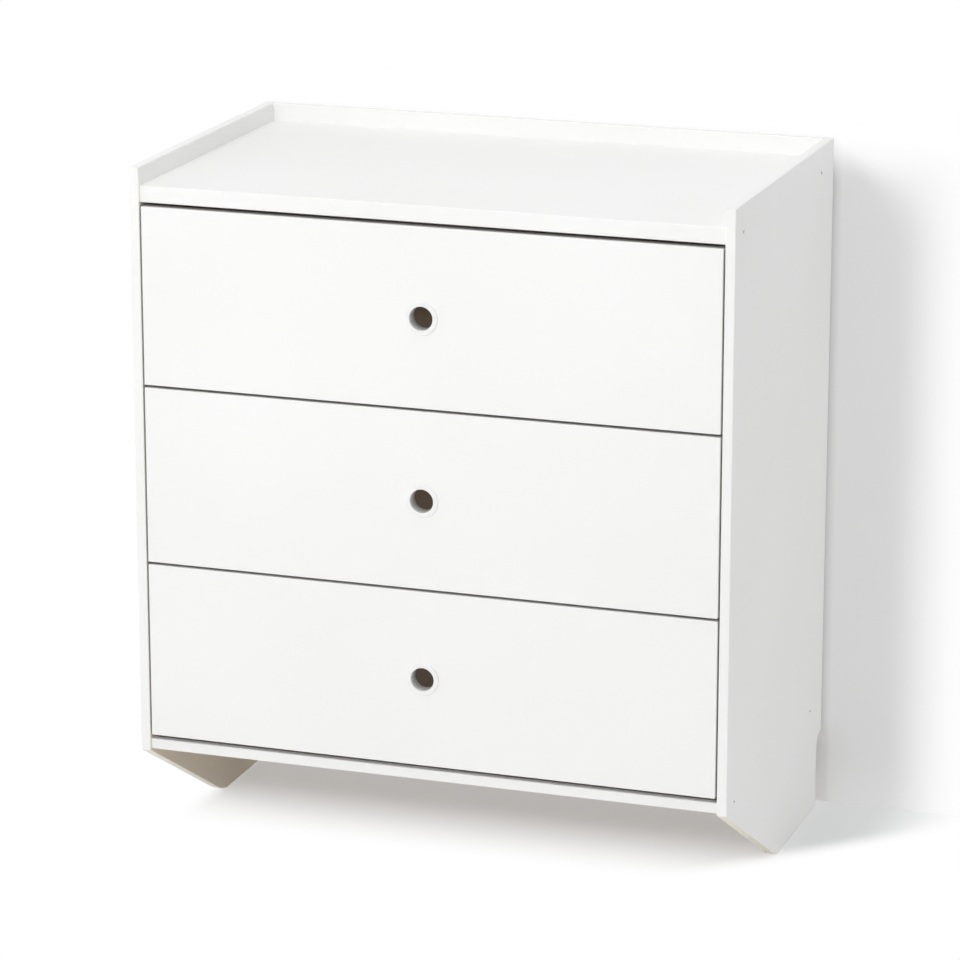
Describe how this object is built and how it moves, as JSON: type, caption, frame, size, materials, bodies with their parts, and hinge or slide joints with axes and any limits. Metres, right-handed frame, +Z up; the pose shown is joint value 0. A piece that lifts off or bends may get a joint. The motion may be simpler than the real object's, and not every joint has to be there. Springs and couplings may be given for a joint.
{
  "type": "changing dresser",
  "caption": "White changing dresser with a rimmed top tray, inset drawers with round finger holes, and side panels that run down into slanted feet.",
  "frame": {"origin": "on the floor, in the middle of the width and of the overall depth", "axes": "+Z up, the drawer fronts face -Y and the wall side is +Y, +X is to the right as seen from the front"},
  "size_m": [0.8, 0.4782, 0.922],
  "materials": {
    "white_board": "satin white lacquer on fibreboard",
    "drawer_board": "matt white foil on fibreboard",
    "hardboard": "plain hardboard",
    "beech": "plain fluted beech",
    "white_plastic": "moulded, fine satin",
    "roller_plastic": "moulded, matt",
    "white_runner_steel": "white epoxy powder coat",
    "white_steel": "white enamelled head"
  },
  "bodies": {
    "root": {"left_side_panel": "white_board", "right_side_panel": "white_board", "top_panel": "white_board", "bottom_panel": "white_board", "rear_rim": "white_board", "wall_rail": "white_board", "back_panel": "hardboard", "panel_bolts": "white_steel", "dowels": "beech", "upper_cabinet_left_runner": "white_runner_steel", "upper_cabinet_right_runner": "white_runner_steel", "middle_cabinet_left_runner": "white_runner_steel", "middle_cabinet_right_runner": "white_runner_steel", "lower_cabinet_left_runner": "white_runner_steel", "lower_cabinet_right_runner": "white_runner_steel"},
    "upper_drawer": {"upper_drawer_front": "white_board", "upper_finger_ring": "white_plastic", "upper_drawer_left_side": "drawer_board", "upper_drawer_right_side": "drawer_board", "upper_drawer_back": "drawer_board", "upper_drawer_base": "hardboard", "upper_drawer_left_runner": "white_runner_steel", "upper_drawer_right_runner": "white_runner_steel"},
    "upper_front_rollers": {"upper_front_rollers": "roller_plastic"},
    "upper_rear_rollers": {"upper_rear_rollers": "roller_plastic"},
    "middle_drawer": {"middle_drawer_front": "white_board", "middle_finger_ring": "white_plastic", "middle_drawer_left_side": "drawer_board", "middle_drawer_right_side": "drawer_board", "middle_drawer_back": "drawer_board", "middle_drawer_base": "hardboard", "middle_drawer_left_runner": "white_runner_steel", "middle_drawer_right_runner": "white_runner_steel"},
    "middle_front_rollers": {"middle_front_rollers": "roller_plastic"},
    "middle_rear_rollers": {"middle_rear_rollers": "roller_plastic"},
    "lower_drawer": {"lower_drawer_front": "white_board", "lower_finger_ring": "white_plastic", "lower_drawer_left_side": "drawer_board", "lower_drawer_right_side": "drawer_board", "lower_drawer_back": "drawer_board", "lower_drawer_base": "hardboard", "lower_drawer_left_runner": "white_runner_steel", "lower_drawer_right_runner": "white_runner_steel"},
    "lower_front_rollers": {"lower_front_rollers": "roller_plastic"},
    "lower_rear_rollers": {"lower_rear_rollers": "roller_plastic"}
  },
  "joints": [
    {"name": "upper_drawer_slide", "type": "slide", "parent": "root", "child": "upper_drawer", "axis": [0, -1, 0], "range_m": [0, 0.3]},
    {"name": "upper_front_roller_spin", "type": "hinge", "parent": "root", "child": "upper_front_rollers", "pos_m": [0, -0.2039, 0.65427], "axis": [1, 0, 0], "continuous": true},
    {"name": "upper_rear_roller_spin", "type": "hinge", "parent": "upper_drawer", "child": "upper_rear_rollers", "pos_m": [0, 0.1692, 0.65497], "axis": [1, 0, 0], "continuous": true},
    {"name": "middle_drawer_slide", "type": "slide", "parent": "root", "child": "middle_drawer", "axis": [0, -1, 0], "range_m": [0, 0.3]},
    {"name": "middle_front_roller_spin", "type": "hinge", "parent": "root", "child": "middle_front_rollers", "pos_m": [0, -0.2039, 0.41673], "axis": [1, 0, 0], "continuous": true},
    {"name": "middle_rear_roller_spin", "type": "hinge", "parent": "middle_drawer", "child": "middle_rear_rollers", "pos_m": [0, 0.1692, 0.41743], "axis": [1, 0, 0], "continuous": true},
    {"name": "lower_drawer_slide", "type": "slide", "parent": "root", "child": "lower_drawer", "axis": [0, -1, 0], "range_m": [0, 0.3]},
    {"name": "lower_front_roller_spin", "type": "hinge", "parent": "root", "child": "lower_front_rollers", "pos_m": [0, -0.2039, 0.1792], "axis": [1, 0, 0], "continuous": true},
    {"name": "lower_rear_roller_spin", "type": "hinge", "parent": "lower_drawer", "child": "lower_rear_rollers", "pos_m": [0, 0.1692, 0.1799], "axis": [1, 0, 0], "continuous": true}
  ],
  "couplings": [
    {"joint": "upper_front_roller_spin", "follows": "upper_drawer_slide", "rad_per_m": 117.65},
    {"joint": "upper_rear_roller_spin", "follows": "upper_drawer_slide", "rad_per_m": 83.333},
    {"joint": "middle_front_roller_spin", "follows": "middle_drawer_slide", "rad_per_m": 117.65},
    {"joint": "middle_rear_roller_spin", "follows": "middle_drawer_slide", "rad_per_m": 83.333},
    {"joint": "lower_front_roller_spin", "follows": "lower_drawer_slide", "rad_per_m": 117.65},
    {"joint": "lower_rear_roller_spin", "follows": "lower_drawer_slide", "rad_per_m": 83.333}
  ]
}
